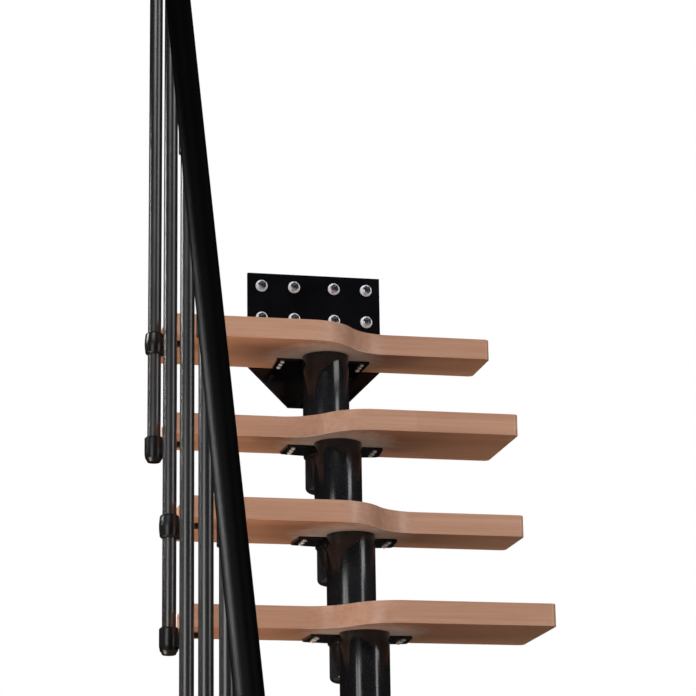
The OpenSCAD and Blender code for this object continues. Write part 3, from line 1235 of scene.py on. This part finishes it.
@dataclass
class Railing:
    """Balusters, their ring clamps and feet with arms, and the handrail, all smooth."""

    flight: Flight
    count: int = 6
    lead: float = 0.060
    axis_x: float = -0.3395
    half_tread: float = 0.318
    baluster_d: float = 0.025
    baluster_wall: float = 0.0015
    baluster_bore: float = 0.03
    baluster_lip: float = 0.0004
    handrail_d: float = 0.045
    handrail_h: float = 1.077
    handrail_reach: float = 0.230
    handrail_lip: float = 0.0005
    handrail_end: float = 0.004
    saddle_d: float = 0.032
    fit: float = 0.0002
    chamfer: float = 0.003
    chamfer_step: tuple[float, float] = (0.0006, 0.0008)
    ring_d: float = 0.037
    ring_end_d: float = 0.034
    ring_h: float = 0.042
    ring_mid: float = -0.006
    belt_h: float = 0.003
    belt_fall: tuple[float, float] = (0.0004, 0.008)
    foot_d: float = 0.035
    foot_h: float = 0.048
    foot_drop: float = 0.039
    foot_cap_r: float = 0.004
    foot_tip_d: float = 0.024
    foot_tip_h: float = 0.007
    foot_tip_step: tuple[float, float] = (0.001, 0.0004)
    foot_fall: tuple[float, float] = (0.0016, 0.002)
    foot_swell: tuple[float, float] = (0.0003, 0.28)
    arm_start: float = 0.012
    arm_w: float = 0.024
    arm_h: float = 0.026
    arm_reach: float = 0.022
    arm_edge: float = 0.0012
    tongue_t: float = 0.006
    tongue_reach: float = 0.048

    def place(self, j: int, z: float) -> Matrix:
        """Where something of baluster j goes at a height."""
        return Matrix.Translation((self.axis_x, self.flight.tube_y(2 * j) - self.lead, z))

    def slope(self) -> float:
        """Angle of the handrail above the floor."""
        return math.atan2(self.flight.rise, self.flight.going)

    def rail_z(self, y: float) -> float:
        """Height of the handrail's axis at a place along the flight."""
        flight, first = self.flight, self.flight.tube_y(2) - self.lead
        return 2 * flight.rise + self.handrail_h + (y - first) * flight.rise / flight.going

    def baluster(self, length: float) -> Piece:
        """Tube with eased rims and an open bore at both ends.

        Args:
            length: Its length.

        Returns:
            The tube, standing on height 0.
        """
        r, lip, deep = self.baluster_d / 2, self.baluster_lip, self.baluster_bore
        bore = r - self.baluster_wall
        piece = turned([(bore, deep), (bore, 0.0), (r - lip, 0.0), (r, lip), (r, length - lip),
                        (r - lip, length), (bore, length), (bore, length - deep)], 48)
        soften(piece, 40.0)
        return piece

    def arm(self) -> Piece:
        """Arm under the tread's end: a deep root, a sloping web and a flat tongue.

        Returns:
            The arm, running along +X from the baluster's axis.
        """
        root = -self.axis_x - self.half_tread
        clear_selection()
        bpy.ops.mesh.primitive_cube_add(
            size=1.0, scale=(root - self.arm_start, self.arm_w, self.arm_h),
            location=((root + self.arm_start) / 2, 0.0, -self.flight.seat_gap - self.arm_h / 2))
        piece = newest()
        settle(piece)
        with editing(piece):
            pick(piece, Pick.FACES, lambda c, n: n.x > FACING)
            bpy.ops.mesh.extrude_region_move(
                TRANSFORM_OT_translate={"value": (self.arm_reach, 0.0, 0.0)})
            pick(piece, Pick.EDGES, lambda a, b: min(a.x, b.x) > root + self.arm_reach - NEAR
                 and max(a.z, b.z) < -self.arm_h / 2)
            bpy.ops.transform.translate(value=(0.0, 0.0, self.arm_h - self.tongue_t))
            pick(piece, Pick.FACES, lambda c, n: n.x > FACING and c.x > root)
            bpy.ops.mesh.extrude_region_move(
                TRANSFORM_OT_translate={"value": (self.tongue_reach - self.arm_reach, 0.0, 0.0)})
        ease(piece, self.arm_edge, degrees=25.0, segments=3)
        return piece

    def clamp(self) -> Piece:
        """Barrel clamp with a flat belt round its middle, and its arm.

        Returns:
            The clamp about the tread's underside.
        """
        end, wide, cut = self.ring_end_d / 2, self.ring_d / 2, self.chamfer
        low = self.ring_mid - self.ring_h / 2
        high, mid, bore = low + self.ring_h, self.ring_mid, self.baluster_d / 2 + self.fit
        (in_r, in_h), (fall_r, fall_h), belt = self.chamfer_step, self.belt_fall, self.belt_h
        barrel = turned([(bore, low), (end - cut, low), (end - in_r, low + cut - in_h),
                         (end, low + cut), (wide - fall_r, mid - fall_h), (wide, mid - belt),
                         (wide, mid + belt), (wide - fall_r, mid + fall_h), (end, high - cut),
                         (end - in_r, high - cut + in_h), (end - cut, high), (bore, high)], 64)
        soften(barrel, 20.0)
        return join([barrel, self.arm()], "clamp")

    def foot(self) -> Piece:
        """Closed foot with a rounded lower end, and its arm.

        Returns:
            The foot about the tread's underside.
        """
        r, cut, low = self.foot_d / 2, self.chamfer, -self.foot_drop
        high, bore = low + self.foot_h, self.baluster_d / 2 + self.fit
        tip, shoulder_r, shoulder = self.foot_tip_d / 2, r - cut / 2, low + self.foot_tip_h
        (in_r, in_h), (tip_r, tip_h) = self.chamfer_step, self.foot_tip_step
        (fall_r, fall_h), (swell_r, swell_share) = self.foot_fall, self.foot_swell
        cup = turned([(self.foot_cap_r, low), (tip - tip_r, low), (tip, low + tip_h),
                      (shoulder_r - fall_r, shoulder - fall_h), (shoulder_r, shoulder),
                      (r - swell_r, low + self.foot_h * swell_share), (r, low + self.foot_h / 3),
                      (r, high - cut), (r - in_r, high - cut + in_h), (r - cut, high),
                      (bore, high)], 64)
        soften(cup, 20.0)
        return join([cup, self.arm()], "foot")

    def build(self, paint: Material, plastic: Material, sleeve: Material) -> None:
        """Makes the railing's pieces.

        Args:
            paint: The balusters' paint.
            plastic: The fittings' plastic.
            sleeve: The handrail's plastic.
        """
        skin = (self.handrail_d / 2 / math.cos(self.slope())
                + self.saddle_d / 2 * math.tan(self.slope()))
        low = self.flight.under_z(1) - self.foot_drop + self.foot_h / 2
        tube = self.baluster(self.rail_z(self.flight.tube_y(2) - self.lead) - skin - low)
        clamp, foot = self.clamp(), self.foot()
        clamps, feet = [], []
        for j in range(1, self.count + 1):
            below = self.flight.under_z(2 * j - 1)
            foot_middle = self.place(j, below - self.foot_drop + self.foot_h / 2)
            piece = twin(tube, foot_middle, f"baluster_tube_{j}")
            put_in_place(piece, paint, [f"baluster_{j}"])
            clamps.append(twin(clamp, self.place(j, self.flight.under_z(2 * j)), "clamp"))
            feet.append(twin(foot, self.place(j, below), "foot"))
        put_in_place(join(clamps, "barrel_clamps"), plastic, ["ring_clamps"])
        put_in_place(join(feet, "end_feet"), plastic, ["baluster_feet"])
        for pattern in (tube, clamp, foot):
            scrap(pattern)
        self.build_handrail(sleeve)

    def build_handrail(self, sleeve: Material) -> None:
        """Makes the handrail as one smooth bar between its caps.

        Args:
            sleeve: Its plastic.
        """
        reach = self.handrail_reach * math.cos(self.slope())
        first = self.flight.tube_y(2) - self.lead - reach
        last = self.flight.tube_y(2 * self.count) - self.lead + reach
        length, r = (last - first) / math.cos(self.slope()), self.handrail_d / 2
        lip, end = self.handrail_lip, r - self.handrail_end
        bar = named(turned([(end, 0.0), (r - lip, 0.0), (r, lip), (r, length - lip),
                            (r - lip, length), (end, length)], 96), "handrail_bar")
        soften(bar, 40.0)
        bar.matrix_world = (Matrix.Translation((self.axis_x, first, self.rail_z(first)))
                            @ Matrix.Rotation(self.slope() - math.pi / 2, 4, "X"))
        settle(bar)
        put_in_place(bar, sleeve, ["handrail"])


@dataclass
class ArmScrews:
    """One wood screw up through each arm's tongue."""

    railing: Railing
    fixings: Fixings
    inset: float = 0.012

    def build(self, finish: Material) -> None:
        """Makes the screws as one piece.

        Args:
            finish: The plating.
        """
        railing, pattern = self.railing, self.fixings.wood_screw()
        along = railing.tongue_reach - railing.axis_x - railing.half_tread - self.inset
        drop, parts = railing.flight.seat_gap + railing.tongue_t, []
        for j in range(1, railing.count + 1):
            for i in (2 * j - 1, 2 * j):
                place = railing.place(j, railing.flight.under_z(i) - drop)
                parts.append(twin(pattern, place @ head_down(Vector((along, 0.0, 0.0)), 0.8 * i),
                                  "screw"))
        scrap(pattern)
        put_in_place(join(parts, "arm_screws"), finish)


@dataclass
class EasedFittings:
    """Fittings whose CAD shape is right as it is, made as copies with eased edges."""

    edge: float = 0.0008

    def build(self, node: str, name: str, slot: Slot, finish: Material) -> None:
        """Makes one fitting.

        Args:
            node: The CAD node that it copies and stands for.
            name: The fitting's name.
            slot: The record's material slot; not used.
            finish: Its material.
        """
        piece = copy_of_node(node, name)
        ease(piece, self.edge, degrees=40.0)
        put_in_place(piece, finish, [node])


def main() -> None:
    """Builds the studio, the camera and every piece of the stair in order."""
    logging.basicConfig(level=logging.INFO, format="%(message)s")
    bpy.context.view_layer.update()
    PhotoCamera().build()
    Studio().build()
    flight, fixings = Flight(), Fixings()
    # One black powder coat in two copies that differ only in colour: the tubes' copy is painted
    # lighter (painted light), the plates' copy darker (painted shade)
    steel = PaintCoat("black_powder_coat", (0.0015, 0.0016, 0.0024), (0.012, 0.013, 0.018), 0.15,
                      grain=620.0, grain_depth=0.00002).material()
    lit_tube_coat = PaintCoat("lit_tube_powder_coat", (0.0095, 0.0098, 0.0117), (0.040, 0.041, 0.046), 0.15,
                      grain=620.0, grain_depth=0.00002).material()
    baluster = PaintCoat("baluster_paint", (0.011, 0.011, 0.0118), (0.026, 0.026, 0.028), 0.27,
                         specular=0.7).material()
    plastic = PaintCoat("moulded_plastic", (0.0012, 0.0012, 0.0015), (0.005, 0.005, 0.006), 0.28,
                        grain=900.0, grain_depth=0.00008, specular=0.35).material()
    handrail = PaintCoat("handrail_plastic", (0.0002, 0.0002, 0.0003), (0.0010, 0.0010, 0.0013),
                         0.46, grain=1100.0, specular=0.04).material()
    zinc = ZincPlate().material()
    blued = ZincPlate("blued_zinc", (0.90, 0.92, 0.97), (0.72, 0.75, 0.84), 1.0, 0.13).material()
    beech = BeechLacquer(flight.rise, flight.going, flight.tread_t).material()
    Treads(flight).build(beech)
    TreadScrews(flight, fixings).build(zinc)
    Bolts(flight, fixings).build(zinc, blued)
    Supports(flight).build(lit_tube_coat, steel)
    railing = Railing(flight)
    railing.build(baluster, plastic, handrail)
    ArmScrews(railing, fixings).build(zinc)
    fittings = EasedFittings()
    fittings.build("wall_bracket", "wall_plate_and_gussets", Slot.STEEL, steel)
    fittings.build("floor_flange", "floor_plate", Slot.STEEL, steel)
    fittings.build("rail_saddles", "handrail_saddles", Slot.PLASTIC, plastic)
    fittings.build("handrail_caps", "handrail_end_caps", Slot.HANDRAIL, handrail)


if __name__ == "__main__":
    main()
